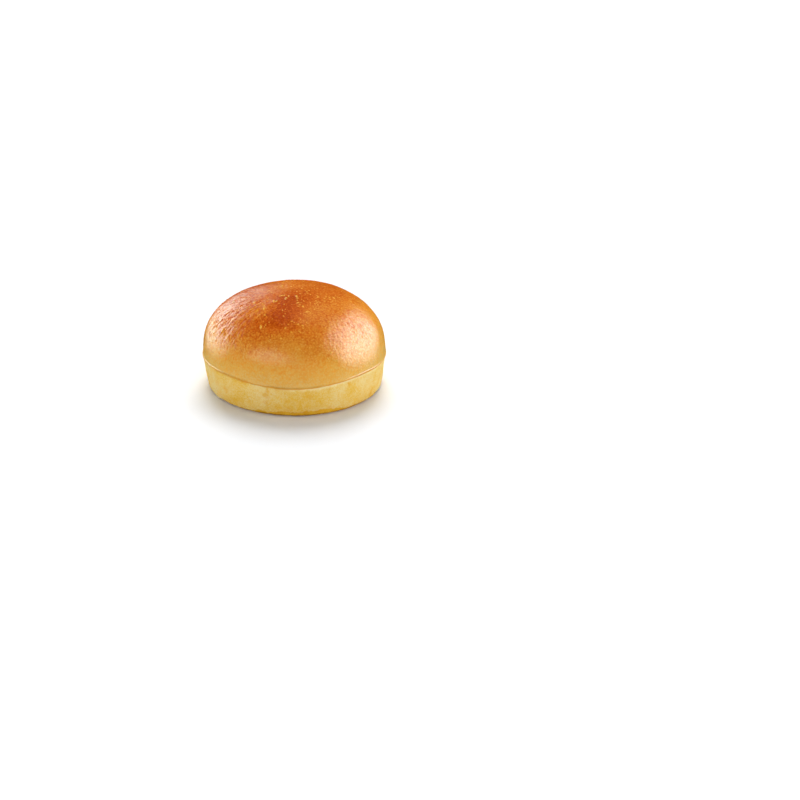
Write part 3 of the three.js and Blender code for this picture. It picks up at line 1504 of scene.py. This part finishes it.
@dataclass(frozen=True)
class Viewpoint:
    """The camera: it looks level along +Y, tipped down, with the bun up and to the left of its axis."""

    tip: float = 24.5
    distance: float = 1.6
    bun_left: float = 62.84 * MM
    bun_up: float = 11.37 * MM
    lens: float = 120.4
    sensor: float = 36

    def build(self) -> bpy.types.Object:
        """Puts the camera in the scene and makes it the scene's own.

        Returns:
            The camera.
        """
        camera = bpy.data.cameras.new("camera")
        camera.lens, camera.sensor_width = self.lens, self.sensor
        tip = math.radians(self.tip)
        forward = Vector((0, math.cos(tip), -math.sin(tip)))
        up = Vector((0, math.sin(tip), math.cos(tip)))
        seat = bpy.data.objects.new("camera", camera)
        seat.location = Vector((self.bun_left, 0, 0)) - up * self.bun_up - forward * self.distance
        seat.rotation_euler = (math.pi / 2 - tip, 0, 0)
        bpy.context.scene.collection.objects.link(seat)
        bpy.context.scene.camera = seat
        return seat


@dataclass(frozen=True)
class Studio:
    """A white table before a white backdrop: softboxes behind, right and front left, and sky panels."""

    room: float = 0.22
    floor_size: float = 8.0
    floor_colour: Colour = (0.925, 0.95, 0.98)
    floor_shade: Colour = (0.935, 0.955, 0.985)
    backdrop_height: float = 3.0
    backdrop_sides: int = 96
    mottle: float = 0.04
    mottle_size: float = 0.2
    floor_roughness: float = 0.9
    softboxes: tuple[Softbox, ...] = (
        Softbox("left_rear_softbox", -129.5, 13.5, 0.9, 2.0, 1.35, 5.0, (0.82, 0.95, 0.88)),
        Softbox("right_softbox", 102, 23, 0.9, 2.3, 1.9, 6.0),
        Softbox("front_softbox", -38, 26, 1.1, 1.6, 1.1, 1.5),
    )
    panels: tuple[SkyPanel, ...] = (
        SkyPanel("top_panel", 178, 54, 2.45, 38),
        SkyPanel("rear_panel", 180, 12, 0.95),
        SkyPanel("left_panel", -88, 9, 1.05),
        SkyPanel("front_panel", 8, 11, 1.0),
        SkyPanel("right_panel", 85, 11, 1.2),
    )

    def build_backdrop(self) -> bpy.types.Object:
        """A tall white ring round the table, which only the camera sees.

        Returns:
            The ring, which lights nothing and shades nothing.
        """
        turn = np.arange(self.backdrop_sides) * 2 * math.pi / self.backdrop_sides
        low = np.stack([np.cos(turn), np.sin(turn), 0 * turn], axis=-1) * self.floor_size / 2
        near = np.arange(self.backdrop_sides)
        onward = np.roll(near, -1)
        faces = np.stack([near, onward, onward + self.backdrop_sides, near + self.backdrop_sides], axis=-1)
        points = np.concatenate([low, low + [0, 0, self.backdrop_height]])
        ring = smooth_object("backdrop", points, faces.tolist(), {})
        recipe = Recipe(bpy.data.materials.new("backdrop"))
        glow = recipe.finish({"Emission Color": (1.0, 1.0, 1.0, 1.0), "Emission Strength": 1.0})
        glow.cycles.emission_sampling = "NONE"
        ring.data.materials.append(glow)
        ring.visible_diffuse = ring.visible_glossy = ring.visible_shadow = False
        return ring

    def build(self, middle_height: float) -> None:
        """Makes the room, the table, the lamps and the camera.

        Args:
            middle_height: the level that the lamps face.
        """
        scene = bpy.context.scene
        scene.view_settings.view_transform = "Standard"
        world = bpy.data.worlds.new("room")
        world.use_nodes = True
        background = world.node_tree.nodes["Background"]
        background.inputs["Color"].default_value = (1, 1, 1, 1)
        background.inputs["Strength"].default_value = self.room
        world.cycles_visibility.glossy = False
        scene.world = world
        half = self.floor_size / 2
        corners = [(-half, -half, 0), (half, -half, 0), (half, half, 0), (-half, half, 0)]
        floor = smooth_object("floor", np.array(corners), [[0, 1, 2, 3]], {})
        recipe = Recipe(bpy.data.materials.new("table"))
        mottle = recipe.hills(recipe.place(), self.mottle_size) * self.mottle + 0.5
        colour = recipe.blend(mottle, self.floor_colour, self.floor_shade)
        floor.data.materials.append(recipe.finish({"Base Color": colour, "Roughness": self.floor_roughness}))
        floor.visible_glossy = False
        self.build_backdrop()
        for softbox in self.softboxes:
            softbox.build(Vector((0, 0, middle_height)))
        for panel in self.panels:
            panel.build()
        Viewpoint().build()


def main() -> None:
    """Builds the studio and both halves, and reports each piece."""
    logging.basicConfig(level=logging.INFO, format="%(message)s")
    form = BunForm(height=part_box("crown")[1].z)
    Studio().build(form.height / 2)
    for half, maker, finish in ((Half.CROWN, Crown, GlazedCrust), (Half.HEEL, Heel, PaleCrust)):
        piece = hand_over(maker(form).build(), half, finish().material())
        log.info("%s: %d points, %d faces", piece.name, len(piece.data.vertices), len(piece.data.polygons))


if __name__ == "__main__":
    main()
